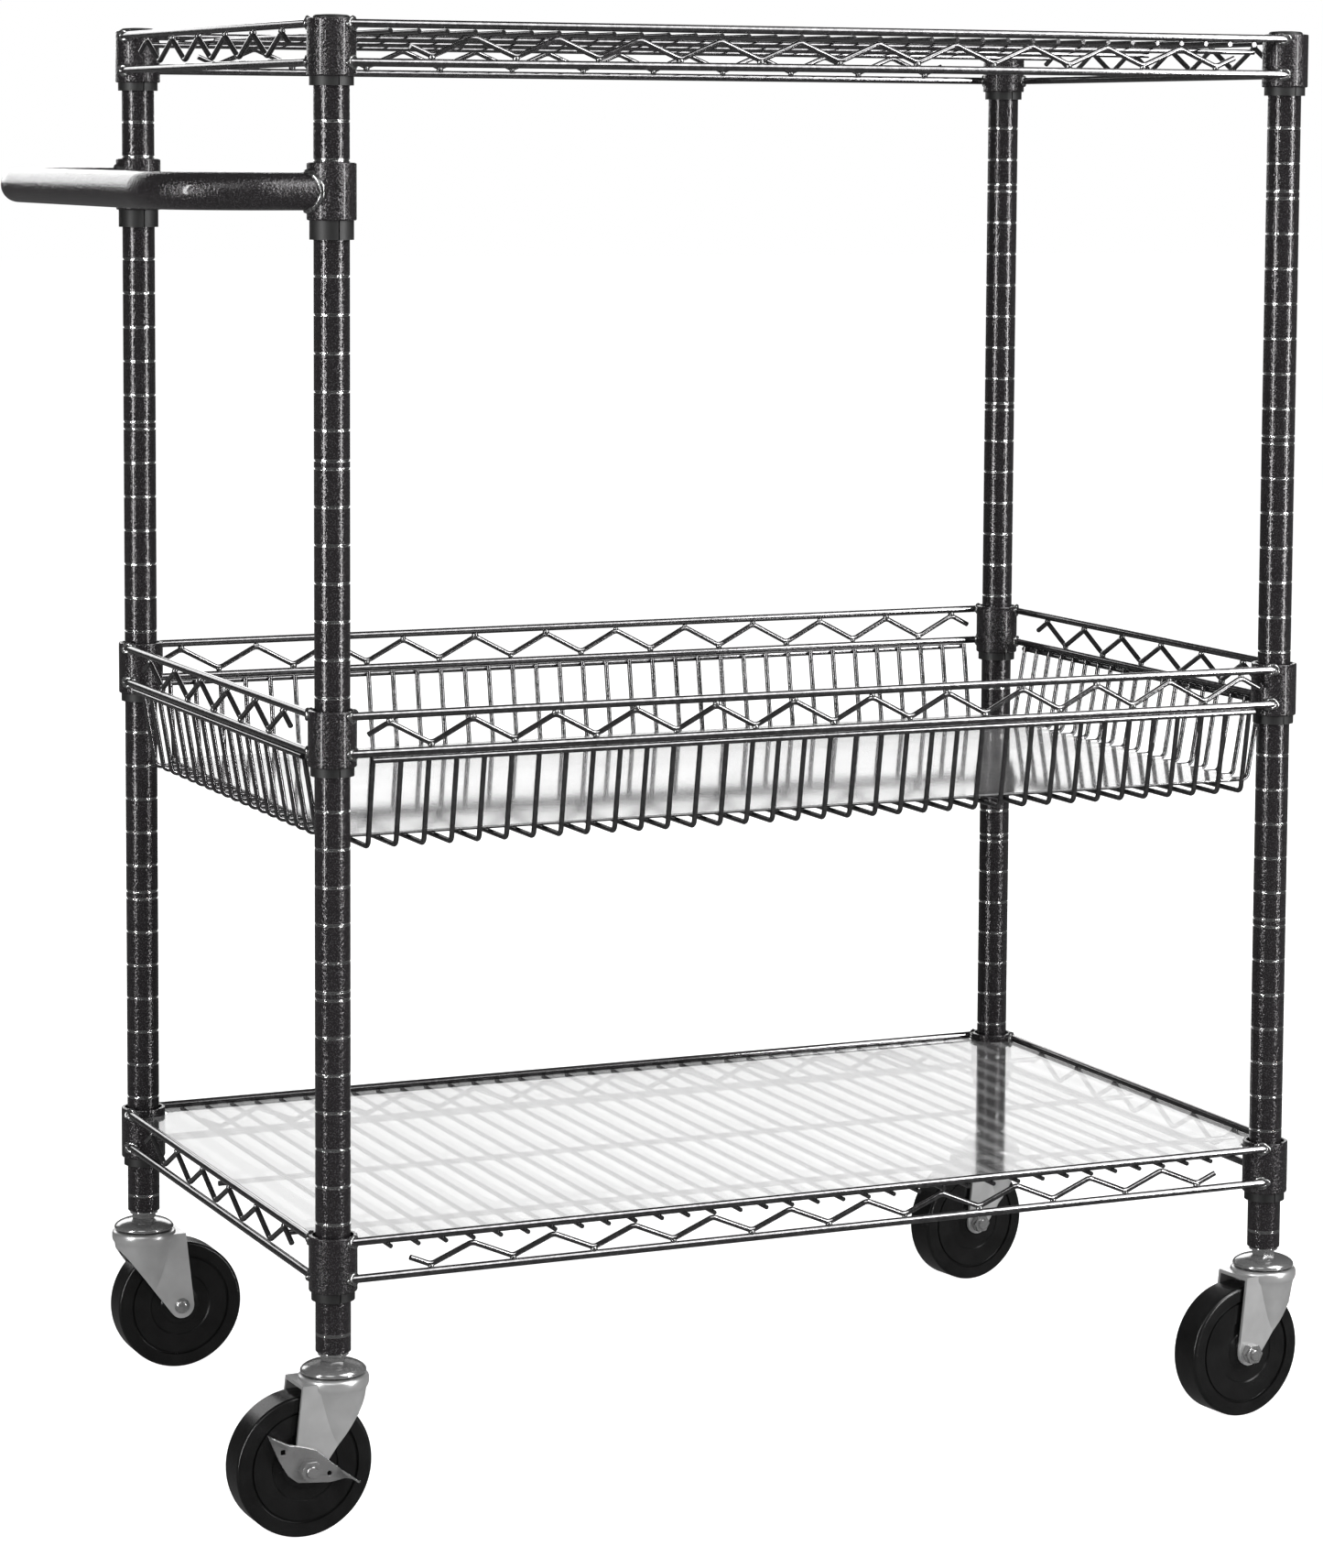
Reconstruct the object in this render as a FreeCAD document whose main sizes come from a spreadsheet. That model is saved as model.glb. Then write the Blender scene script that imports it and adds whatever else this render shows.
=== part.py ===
import FreeCAD, Part
import math
import os
import re
import Sketcher
from FreeCAD import Placement, Rotation, Vector

# A three-tier wire shelf cart: four grooved posts carry an upper wire shelf, a wire basket and a
# lower wire shelf; a bent tube handle stands out at the left end (-X), and four swivel casters
# carry the posts. +Z is up, the floor is z = 0, and the front of the cart faces -Y.
# All sizes are in millimetres and all angles in degrees.

DIMENSIONS = {
    # shelves and posts
    "shelf_length": 762.0,
    "shelf_width": 457.0,
    "post_bottom": 122.0,
    "post_dia": 24.0,
    "post_wall": 1.5,
    "post_half_pitches": 17.5,
    "groove_pitch": 25.4,
    "groove_depth": 0.5,
    "groove_mouth": 1.5,
    "first_groove": 63.5,
    "double_groove_gap": 5.4,
    "double_groove_every": 7.0,
    # where the collars sit, counted in grooves above the lowest one
    "lower_shelf_groove": 0.0,
    "basket_groove": 14.0,
    "handle_groove": 28.0,
    "upper_shelf_groove": 32.0,
    # collars and their split sleeves
    "collar_dia": 33.0,
    "collar_height": 38.0,
    "collar_bore_low": 29.8,
    "collar_bore_high": 28.1,
    "bead_height": 21.4,
    "sleeve_dia": 29.5,
    "sleeve_top_dia": 27.8,
    "sleeve_length": 34.0,
    "sleeve_drop": 6.0,
    "handle_lift": 1.8,
    "handle_sleeve_drop": 12.7,
    # truss wires
    "rail_dia": 5.6,
    "rail_offset": 12.5,
    "rail_inset": 3.5,
    "rail_gap": 25.4,
    "zigzag_dia": 3.8,
    "zigzag_pitch": 60.0,
    "zigzag_bend": 7.0,
    "wire_clearance": 0.1,
    # deck wires
    "deck_dia": 3.2,
    "deck_pitch": 20.0,
    "deck_count": 34.0,
    "cross_wire_dia": 3.8,
    "cross_wire_edge": 60.0,
    # basket
    "rim_dia": 4.0,
    "rim_end": 24.2,
    "basket_wire_dia": 3.6,
    "basket_depth": 65.0,
    "basket_slope": 11.0,
    "basket_bend": 5.0,
    "basket_cross_count": 35.0,
    "basket_long_count": 19.0,
    # loose liners
    "liner_thickness": 1.2,
    "liner_notch_dia": 37.0,
    "lower_liner_margin": 9.0,
    "basket_liner_margin": -17.0,
    # handle
    "handle_dia": 25.0,
    "handle_wall": 1.5,
    "handle_reach": 108.0,
    "handle_bend": 65.0,
    # casters
    "wheel_dia": 97.0,
    "wheel_width": 25.0,
    "caster_lead": 25.0,
    "fork_width": 33.0,
    "fork_slot": 28.4,
    "fork_top": 104.8,
    "race_dia": 48.4,
    "race_top": 107.1,
    "ball_dia": 4.0,
    "ball_circle": 33.0,
    "ball_height": 108.3,
    "cover_dia": 45.0,
    "cover_dome": 7.4,
    "hex_height": 3.7,
    "king_pin_dia": 9.8,
    "axle_dia": 8.0,
    "axle_sleeve_dia": 12.0,
    "nut_size": 13.0,
    "lever_thickness": 1.8,
    # where each caster points at rest, as the direction in which its wheel trails
    "front_left_swivel": 182.0,
    "back_left_swivel": 0.0,
    "front_right_swivel": 188.0,
    "back_right_swivel": 190.0,
}

POST_X = "(shelf_length / 2 - rail_offset - rail_dia / 2)"
POST_Y = "(shelf_width / 2 - rail_offset - rail_dia / 2)"
# the shelves sit to the right of the origin, so that the origin is midway along the whole cart
CART_X = "((handle_reach + handle_dia / 2 - race_dia / 2) / 2)"
HALF_POST = "(post_half_pitches * groove_pitch)"
COLLAR_CLEARANCE_DIA = "(collar_dia + 2 * wire_clearance)"
CORNERS = {
    "front_left": (-1, -1),
    "back_left": (-1, 1),
    "front_right": (1, -1),
    "back_right": (1, 1),
}
BRAKED = ("front_left", "back_left")

doc = FreeCAD.newDocument("wire_shelf_cart")
sheet = doc.addObject("Spreadsheet::Sheet", "dims")
for row, (alias, size) in enumerate(DIMENSIONS.items(), start=1):
    sheet.set(f"A{row}", alias)
    sheet.set(f"B{row}", str(size))
    sheet.setAlias(f"B{row}", alias)
doc.recompute()

nodes = []


# ---------------------------------------------------------------- formulas

def formula(text):
    """The formula with every dimension's name pointed at the sheet."""
    return re.sub(
        r"[a-z][a-z_]*",
        lambda word: f"dims.{word.group()}" if word.group() in DIMENSIONS else word.group(),
        str(text),
    )


def value(text):
    return float(sheet.evalExpression(formula(text)))


def bind(thing, name, text):
    thing.setExpression(name, formula(text))


def place(thing, x="0", y="0", z="0", turn="0"):
    """Stands a sub-part at a point, turned about the vertical."""
    thing.Placement = Placement(Vector(0, 0, 0), Rotation(Vector(0, 0, 1), value(turn)))
    bind(thing, "Placement.Rotation.Angle", turn)
    for axis, text in zip("xyz", (x, y, z)):
        bind(thing, f"Placement.Base.{axis}", text)


def collar_level(groove, extra="0"):
    """Height of a collar's lower edge, when its sleeve's bead is in the given groove."""
    return f"(post_bottom + first_groove + {groove} * groove_pitch + {extra} - bead_height)"


HANDLE_LEVEL = f"({collar_level('handle_groove', 'double_groove_gap')} + handle_lift)"


# ---------------------------------------------------------------- sketches and features

def node_body(label):
    body = doc.addObject("PartDesign::Body", label)
    body.Label = label
    body.AllowCompound = True
    nodes.append(body)
    return body


def datum(body, role):
    return next(item for item in body.Origin.OriginFeatures if item.Role == role)


def new_sketch(body, plane, lift="0"):
    """A sketch on one of the body's own planes, or raised above it along its normal."""
    sketch = body.newObject("Sketcher::SketchObject", "sketch")
    sketch.AttachmentSupport = [(datum(body, plane), "")]
    sketch.MapMode = "FlatFace"
    bind(sketch, "AttachmentOffset.Base.z", lift)
    return sketch


def pin_point(sketch, geometry, point, x, y):
    for kind, text in (("DistanceX", x), ("DistanceY", y)):
        index = sketch.addConstraint(Sketcher.Constraint(kind, geometry, point, value(text)))
        bind(sketch, f"Constraints[{index}]", text)


def add_outline(sketch, corners):
    """A closed outline whose corners are pairs of formulas."""
    first = sketch.GeometryCount
    points = [Vector(value(x), value(y), 0) for x, y in corners]
    count = len(points)
    for i in range(count):
        sketch.addGeometry(Part.LineSegment(points[i], points[(i + 1) % count]), False)
    for i, (x, y) in enumerate(corners):
        after = first + (i + 1) % count
        sketch.addConstraint(Sketcher.Constraint("Coincident", first + i, 2, after, 1))
        pin_point(sketch, first + i, 1, x, y)
    return sketch


def add_circle(sketch, x, y, dia):
    centre = Vector(value(x), value(y), 0)
    circle = Part.Circle(centre, Vector(0, 0, 1), value(dia) / 2)
    index = sketch.addGeometry(circle, False)
    pin_point(sketch, index, 3, x, y)
    size = sketch.addConstraint(Sketcher.Constraint("Diameter", index, value(dia)))
    bind(sketch, f"Constraints[{size}]", dia)
    return sketch


def pad(body, sketch, length, symmetric=False):
    feature = body.newObject("PartDesign::Pad", "pad")
    feature.Profile = sketch
    bind(feature, "Length", length)
    feature.SideType = "Symmetric" if symmetric else "One side"
    doc.recompute()
    return feature


def turn(body, sketch, angle=360.0):
    """Turns an outline about its sketch's vertical axis."""
    feature = body.newObject("PartDesign::Revolution", "revolution")
    feature.Profile = sketch
    feature.ReferenceAxis = (sketch, ["V_Axis"])
    feature.Angle = angle
    feature.Midplane = angle < 360.0
    doc.recompute()
    return feature


def must_remove(body, feature, before):
    doc.recompute()
    if not feature.Shape.Volume < before - 1e-3:
        raise RuntimeError(f"{body.Label}: {feature.Name} removes nothing")
    return feature


def pocket(body, sketch, length):
    """Cuts to both sides of the sketch, half the length each way."""
    before = body.Shape.Volume
    feature = body.newObject("PartDesign::Pocket", "pocket")
    feature.Profile = sketch
    bind(feature, "Length", length)
    feature.SideType = "Symmetric"
    return must_remove(body, feature, before)


def turned_cut(body, sketch):
    before = body.Shape.Volume
    feature = body.newObject("PartDesign::Groove", "groove")
    feature.Profile = sketch
    feature.ReferenceAxis = (sketch, ["V_Axis"])
    feature.Angle = 360.0
    return must_remove(body, feature, before)


def row_pattern(body, feature, axis, length, count):
    pattern = body.newObject("PartDesign::LinearPattern", "row")
    pattern.Originals = [feature]
    pattern.Direction = (datum(body, axis), [""])
    bind(pattern, "Length", length)
    bind(pattern, "Occurrences", count)
    body.Tip = pattern
    doc.recompute()
    return pattern


def at_all_posts(body, feature):
    """Repeats a feature, made at the front left post, at the other three."""
    pattern = row_pattern(body, feature, "X_Axis", f"2 * {POST_X}", "2")
    pattern.Direction2 = (datum(body, "Y_Axis"), [""])
    bind(pattern, "Length2", f"2 * {POST_Y}")
    pattern.Occurrences2 = 2
    doc.recompute()
    return pattern


def place_at_front_left(body, z):
    place(body, f"{CART_X} - {POST_X}", f"-{POST_Y}", z)


def rounded(body, feature, radius, wanted):
    """Fillets the edges that the wanted test picks."""
    names = [f"Edge{i}" for i, edge in enumerate(feature.Shape.Edges, start=1) if wanted(edge)]
    fillet = body.newObject("PartDesign::Fillet", "fillet")
    fillet.Base = (feature, names)
    fillet.Radius = radius
    doc.recompute()
    return fillet


def is_ring(edge, radius):
    return isinstance(edge.Curve, Part.Circle) and abs(edge.Curve.Radius - radius) < 0.01


# ---------------------------------------------------------------- posts

def post(label, x, y, bottom, first, count, first_double, doubles):
    """Half a post: a tube with a rolled groove at every pitch, and some of them doubled."""
    radius = "post_dia / 2"
    bore = "(post_dia / 2 - post_wall)"
    body = node_body(label)
    tube = add_outline(new_sketch(body, "XZ_Plane"), [
        (bore, "0"),
        (f"{radius} - 0.8", "0"),
        (radius, "0.8"),
        (radius, f"{HALF_POST} - 0.4"),
        (f"{radius} - 0.4", HALF_POST),
        (bore, HALF_POST),
    ])
    turn(body, tube)
    for start, step, number in (
        (first, "groove_pitch", count),
        (first_double, "double_groove_every * groove_pitch", doubles),
    ):
        section = add_outline(new_sketch(body, "XZ_Plane"), [
            (f"{radius} - groove_depth", f"{start} - groove_mouth / 4"),
            (f"{radius} + 0.2", f"{start} - groove_mouth / 2"),
            (f"{radius} + 0.2", f"{start} + groove_mouth / 2"),
            (f"{radius} - groove_depth", f"{start} + groove_mouth / 4"),
        ])
        row_pattern(body, turned_cut(body, section), "Z_Axis", f"({number} - 1) * {step}", number)
    place(body, x, y, bottom)


def posts():
    for corner, (side_x, side_y) in CORNERS.items():
        x = f"{CART_X} + {side_x} * {POST_X}"
        y = f"{side_y} * {POST_Y}"
        post(f"{corner}_lower_post", x, y, "post_bottom", "first_groove", "15",
             "first_groove + double_groove_gap", "3")
        post(f"{corner}_upper_post", x, y, f"post_bottom + {HALF_POST}", "groove_pitch", "17",
             "6 * groove_pitch + double_groove_gap", "2")


def post_caps():
    """Push-in plastic caps: a domed head on the tube's rim, over a plug."""
    body = node_body("post_caps")
    head = "post_dia / 2 + 0.3"
    plug = "post_dia / 2 - post_wall - 0.1"
    outline = add_outline(new_sketch(body, "XZ_Plane"), [
        ("0", "-10"),
        (f"{plug} - 1", "-10"),
        (plug, "-9"),
        (plug, "0.1"),
        (head, "0.1"),
        (head, "4.6"),
        (f"{head} - 0.5", "5.4"),
        (f"{head} - 1.6", "5.9"),
        ("5", "6.3"),
        ("0", "6.4"),
    ])
    at_all_posts(body, turn(body, outline))
    place_at_front_left(body, f"post_bottom + 2 * {HALF_POST}")


def post_inserts():
    """Threaded steel plugs: one in each lower post's foot, and one each side of the joint."""
    body = node_body("post_inserts")
    outer = "post_dia / 2 - post_wall - 0.05"
    sketch = new_sketch(body, "XZ_Plane")
    for low, high in (
        ("0.5", "20"),
        (f"{HALF_POST} - 16", f"{HALF_POST} - 0.3"),
        (f"{HALF_POST} + 0.3", f"{HALF_POST} + 16"),
    ):
        add_outline(sketch, [("5.1", low), (outer, low), (outer, high), ("5.1", high)])
    at_all_posts(body, turn(body, sketch))
    place_at_front_left(body, "post_bottom")


def joining_studs():
    """Studs that screw the lower and upper halves of the posts together."""
    body = node_body("joining_studs")
    sketch = add_circle(new_sketch(body, "XY_Plane"), "0", "0", "10")
    at_all_posts(body, pad(body, sketch, "28", symmetric=True))
    place_at_front_left(body, f"post_bottom + {HALF_POST}")


# ---------------------------------------------------------------- collars and sleeves

def collar_outline(sketch, z="0"):
    """A tapered bore, wider at its foot, with both outer edges rounded off."""
    radius = "collar_dia / 2"
    return add_outline(sketch, [
        ("collar_bore_low / 2", z),
        (f"{radius} - 0.9", z),
        (f"{radius} - 0.25", f"{z} + 0.3"),
        (radius, f"{z} + 1"),
        (radius, f"{z} + collar_height - 0.7"),
        (f"{radius} - 0.2", f"{z} + collar_height - 0.2"),
        (f"{radius} - 0.7", f"{z} + collar_height"),
        ("collar_bore_high / 2", f"{z} + collar_height"),
    ])


def shelf_collars(label, level):
    body = node_body(label)
    at_all_posts(body, turn(body, collar_outline(new_sketch(body, "XZ_Plane"))))
    place_at_front_left(body, level)


def sleeve_outline(sketch, level, drop, side, lift="0"):
    """One half of a split sleeve: a cone with a bead inside that sits in the post's groove."""
    bore = "(post_dia / 2 + 0.08)"
    bead = f"({level} + bead_height - {lift})"
    foot = f"{level} - {drop}"
    top = f"{level} + sleeve_length"
    corners = [
        (bore, foot),
        ("sleeve_dia / 2", foot),
        ("sleeve_dia / 2", f"{level} + 0.2"),
        ("sleeve_top_dia / 2", top),
        (bore, top),
        (bore, f"{bead} + 0.5"),
        (f"{bore} - 0.4", f"{bead} + 0.2"),
        (f"{bore} - 0.4", f"{bead} - 0.2"),
        (bore, f"{bead} - 0.5"),
    ]
    return add_outline(sketch, [(f"{side} * ({x})", z) for x, z in corners])


def split_sleeves():
    """Two half sleeves under each collar, with a thin slit on either side."""
    body = node_body("split_sleeves")
    half_turn = 177.0
    for groove in ("lower_shelf_groove", "basket_groove", "upper_shelf_groove"):
        for side in (1, -1):
            sketch = new_sketch(body, "XZ_Plane")
            sleeve_outline(sketch, collar_level(groove), "sleeve_drop", side)
            at_all_posts(body, turn(body, sketch, half_turn))
    for side in (1, -1):
        sketch = new_sketch(body, "XZ_Plane")
        sleeve_outline(sketch, HANDLE_LEVEL, "handle_sleeve_drop", side, "handle_lift")
        row_pattern(body, turn(body, sketch, half_turn), "Y_Axis", f"2 * {POST_Y}", "2")
    place_at_front_left(body, "0")


# ---------------------------------------------------------------- shelf wires

def clear_of_collars(body, reach):
    """Copes the ends of the wires round the four collars."""
    sketch = new_sketch(body, "XY_Plane")
    for side_x, side_y in CORNERS.values():
        add_circle(sketch, f"{side_x} * {POST_X}", f"{side_y} * {POST_Y}", COLLAR_CLEARANCE_DIA)
    pocket(body, sketch, reach)


def ring_of_rods(body, heights, dia, end):
    """Straight rods on all four sides at the given heights, each ending near a post's axis."""
    along_x = new_sketch(body, "YZ_Plane")
    along_y = new_sketch(body, "XZ_Plane")
    for side in (-1, 1):
        for height in heights:
            add_circle(along_x, f"{side} * ({POST_Y} + rail_offset)", height, dia)
            add_circle(along_y, f"{side} * ({POST_X} + rail_offset)", height, dia)
    pad(body, along_x, f"2 * ({POST_X} - {end})", symmetric=True)
    pad(body, along_y, f"2 * ({POST_Y} - {end})", symmetric=True)


UPPER_RAIL = "(collar_height - rail_inset)"
LOWER_RAIL = "(collar_height - rail_inset - rail_gap)"
RIM = f"({LOWER_RAIL} - (rail_dia + rim_dia) / 2 - wire_clearance)"


def shelf_rails(label, level, rim=False):
    """Two rails on each side; under the basket's lower ones lies a rim that stops short."""
    body = node_body(label)
    inside_collar = "4"
    ring_of_rods(body, (UPPER_RAIL, LOWER_RAIL), "rail_dia", inside_collar)
    if rim:
        ring_of_rods(body, (RIM,), "rim_dia", "rim_end")
    clear_of_collars(body, "4 * collar_height")
    place(body, CART_X, "0", level)


def bent_wire(corners, bend, dia):
    """A round wire along straight runs, with the same bend radius at every corner."""
    edges = []
    start = corners[0]
    for before, corner, after in zip(corners, corners[1:], corners[2:]):
        run_in = (before - corner).normalize()
        run_out = (after - corner).normalize()
        half_angle = run_in.getAngle(run_out) / 2
        back = bend / math.tan(half_angle)
        enter = corner + run_in * back
        leave = corner + run_out * back
        towards_centre = (run_in + run_out).normalize()
        middle = corner + towards_centre * (bend / math.sin(half_angle) - bend)
        edges += [Part.LineSegment(start, enter).toShape(), Part.Arc(enter, middle, leave).toShape()]
        start = leave
    edges.append(Part.LineSegment(start, corners[-1]).toShape())
    path = Part.Wire(edges)
    section = Part.Circle(corners[0], corners[1] - corners[0], dia / 2).toShape()
    wire = path.makePipeShell([Part.Wire([section])], True, False)
    length = path.Length
    expected = math.pi * dia * dia / 4 * length
    if not wire.isValid() or abs(wire.Volume - expected) > 0.02 * expected:
        raise RuntimeError("a bent wire came out wrong")
    return wire


def wire_node(label, wires, level):
    """A node of bent wires, whose outlines come from loops rather than from one sketch."""
    feature = doc.addObject("Part::Feature", label)
    feature.Label = label
    feature.Shape = Part.makeCompound(wires)
    place(feature, CART_X, "0", level)
    nodes.append(feature)


def zigzag_run(half_span, low_first, low, high):
    """Corners of a zigzag as (distance, height) pairs, ending in half-height stubs."""
    half_pitch = value("zigzag_pitch") / 2
    stub_share = 0.5
    steps = round(2 * half_span / half_pitch)
    heights = [low if (i % 2 == 0) == low_first else high for i in range(steps + 1)]
    run = [(i * half_pitch - half_span, height) for i, height in enumerate(heights)]
    for end, sign in ((0, -1), (-1, 1)):
        along, height = run[end]
        other = low + high - height
        stub = (along + sign * half_pitch * stub_share, height + (other - height) * stub_share)
        run.insert(0 if sign < 0 else len(run), stub)
    return run


def zigzags(label, level, deck):
    """The zigzag wire of each side, between its lower rail and its upper rail or deck wires."""
    clearance = value("wire_clearance")
    zigzag = value("zigzag_dia")
    rail = value("rail_dia")
    low = value(LOWER_RAIL) + (rail + zigzag) / 2 + clearance
    under_rail = value(UPPER_RAIL) - (rail + zigzag) / 2 - clearance
    under_deck = under_rail - value("deck_dia") - clearance
    pitch = value("zigzag_pitch")
    long_half_span = 5 * pitch if deck else 5.5 * pitch
    long_run = zigzag_run(long_half_span, deck, low, under_deck if deck else under_rail)
    side_run = zigzag_run(2.5 * pitch, False, low, under_rail)
    plane_y = value(f"{POST_Y} + rail_offset")
    plane_x = value(f"{POST_X} + rail_offset")
    bend = value("zigzag_bend")
    wires = []
    for side in (-1, 1):
        front = [Vector(along, side * plane_y, height) for along, height in long_run]
        end = [Vector(side * plane_x, along, height) for along, height in side_run]
        wires += [bent_wire(front, bend, zigzag), bent_wire(end, bend, zigzag)]
    wire_node(label, wires, level)


DECK = f"({UPPER_RAIL} - rail_dia / 2 - deck_dia / 2 - wire_clearance)"
CROSS_WIRE = f"({DECK} - deck_dia / 2 - cross_wire_dia / 2 - wire_clearance)"


def deck_wires(label, level):
    """Close-set wires from front to back under the rails, on three long cross wires."""
    body = node_body(label)
    cross = new_sketch(body, "YZ_Plane")
    for place_y in (f"-({POST_Y} - cross_wire_edge)", "0", f"{POST_Y} - cross_wire_edge"):
        add_circle(cross, place_y, CROSS_WIRE, "cross_wire_dia")
    inner_face = "(rail_offset - zigzag_dia / 2 - 2 * wire_clearance)"
    pad(body, cross, f"2 * ({POST_X} + {inner_face})", symmetric=True)
    span = "((deck_count - 1) * deck_pitch)"
    wire = add_circle(new_sketch(body, "XZ_Plane"), f"-{span} / 2", DECK, "deck_dia")
    outer_face = "(rail_offset + rail_dia / 2)"
    first = pad(body, wire, f"2 * ({POST_Y} + {outer_face})", symmetric=True)
    row_pattern(body, first, "X_Axis", span, "deck_count")
    place(body, CART_X, "0", level)


# ---------------------------------------------------------------- basket

BASKET_FLOOR = f"({LOWER_RAIL} - basket_depth)"
LONG_WIRE_FLOOR = f"({BASKET_FLOOR} + basket_wire_dia + wire_clearance)"


def basket_run(half_post, floor):
    """Corners of one basket wire: down a sloping wall, over the floor and up the other wall."""
    wire = value("basket_wire_dia")
    slope = value("basket_slope") / value("basket_depth")
    at_rim = half_post + value("rail_offset - rim_dia / 2 - 2 * wire_clearance") - wire / 2
    top = value(LOWER_RAIL) - value("rail_dia") / 2
    top_out = at_rim + slope * (top - value(RIM))
    foot_out = at_rim - slope * (value(RIM) - floor)
    return [(-top_out, top), (-foot_out, floor), (foot_out, floor), (top_out, top)]


def spread(count):
    """Centred positions one deck pitch apart."""
    pitch = value("deck_pitch")
    return [(i - (count - 1) / 2) * pitch for i in range(count)]


def basket_wires(level):
    bend = value("basket_bend")
    dia = value("basket_wire_dia")
    across = basket_run(value(POST_Y), value(BASKET_FLOOR))
    along = basket_run(value(POST_X), value(LONG_WIRE_FLOOR))
    front_to_back = [
        bent_wire([Vector(x, y, z) for y, z in across], bend, dia)
        for x in spread(int(value("basket_cross_count")))
    ]
    side_to_side = [
        bent_wire([Vector(x, y, z) for x, z in along], bend, dia)
        for y in spread(int(value("basket_long_count")))
    ]
    wire_node("basket_front_to_back_wires", front_to_back, level)
    wire_node("basket_side_to_side_wires", side_to_side, level)


# ---------------------------------------------------------------- liners

def liner(label, level, underside, margin):
    """A loose plastic sheet with its corners cut away round the posts."""
    half_x = f"({POST_X} + {margin})"
    half_y = f"({POST_Y} + {margin})"
    panel = doc.addObject("Part::Box", f"{label}_panel")
    bind(panel, "Length", f"2 * {half_x}")
    bind(panel, "Width", f"2 * {half_y}")
    bind(panel, "Height", "liner_thickness")
    place(panel, f"-{half_x}", f"-{half_y}")
    notches = []
    for corner, (side_x, side_y) in CORNERS.items():
        notch = doc.addObject("Part::Cylinder", f"{label}_{corner}_notch")
        bind(notch, "Radius", "liner_notch_dia / 2")
        bind(notch, "Height", "3 * liner_thickness")
        place(notch, f"{side_x} * {POST_X}", f"{side_y} * {POST_Y}", "-liner_thickness")
        notches.append(notch)
    corners = doc.addObject("Part::Compound", f"{label}_notches")
    corners.Links = notches
    sheet_part = doc.addObject("Part::Cut", label)
    sheet_part.Label = label
    sheet_part.Base = panel
    sheet_part.Tool = corners
    place(sheet_part, CART_X, "0", f"{level} + {underside} + wire_clearance")
    nodes.append(sheet_part)


# ---------------------------------------------------------------- handle

def handle_tube(level):
    """A tube out of the front left collar, along the end of the cart and back in."""
    body = node_body("handle_tube")
    bend_x = "-(handle_reach - handle_bend)"
    near, far = f"-{POST_Y}", POST_Y
    path = new_sketch(body, "XY_Plane")
    for start, end in (
        (("0", near), (bend_x, near)),
        (("-handle_reach", f"{near} + handle_bend"), ("-handle_reach", f"{far} - handle_bend")),
        ((bend_x, far), ("0", far)),
    ):
        run = Part.LineSegment(*(Vector(value(x), value(y), 0) for x, y in (start, end)))
        index = path.addGeometry(run, False)
        pin_point(path, index, 1, *start)
        pin_point(path, index, 2, *end)
    bend = value("handle_bend")
    quarter = math.pi / 2
    for centre_y, first_angle, joins in (
        (f"{near} + handle_bend", 2 * quarter, ((2, 0, 2), (1, 1, 1))),
        (f"{far} - handle_bend", quarter, ((2, 1, 2), (1, 2, 1))),
    ):
        centre = Vector(value(bend_x), value(centre_y), 0)
        circle = Part.Circle(centre, Vector(0, 0, 1), bend)
        arc = path.addGeometry(Part.ArcOfCircle(circle, first_angle, first_angle + quarter), False)
        for own_end, line, line_end in joins:
            path.addConstraint(Sketcher.Constraint("Coincident", arc, own_end, line, line_end))
        size = path.addConstraint(Sketcher.Constraint("Radius", arc, bend))
        bind(path, f"Constraints[{size}]", "handle_bend")
    section = new_sketch(body, "YZ_Plane")
    add_circle(section, near, "0", "handle_dia")
    add_circle(section, near, "0", "handle_dia - 2 * handle_wall")
    doc.recompute()
    pipe = body.newObject("PartDesign::AdditivePipe", "pipe")
    pipe.Profile = section
    pipe.Spine = (path, ["Edge1", "Edge4", "Edge2", "Edge5", "Edge3"])
    doc.recompute()
    cope = new_sketch(body, "XY_Plane")
    for end in (near, far):
        add_circle(cope, "0", end, COLLAR_CLEARANCE_DIA)
    pocket(body, cope, "2 * collar_height")
    place(body, f"{CART_X} - {POST_X}", "0", f"{level} + collar_height / 2")


def handle_collars(level):
    body = node_body("handle_collars")
    collar = turn(body, collar_outline(new_sketch(body, "XZ_Plane")))
    row_pattern(body, collar, "Y_Axis", f"2 * {POST_Y}", "2")
    place_at_front_left(body, level)


# ---------------------------------------------------------------- casters

AXLE_Z = "(wheel_dia / 2)"
LEG_END = "9.5"
LEADING_ANGLE = "37"
TRAILING_ANGLE = "6.5"
PLATE_UNDER = "(fork_top - 2.5)"
PIN_CLEARANCE = "0.16"
HEX_FOOT = "(post_bottom - 1.8 - hex_height)"


def hexagon(sketch, size):
    corner = f"({size} / sqrt(3))"
    points = [(f"{corner} * cos({60 * i})", f"{corner} * sin({60 * i})") for i in range(6)]
    return add_outline(sketch, points)


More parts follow.
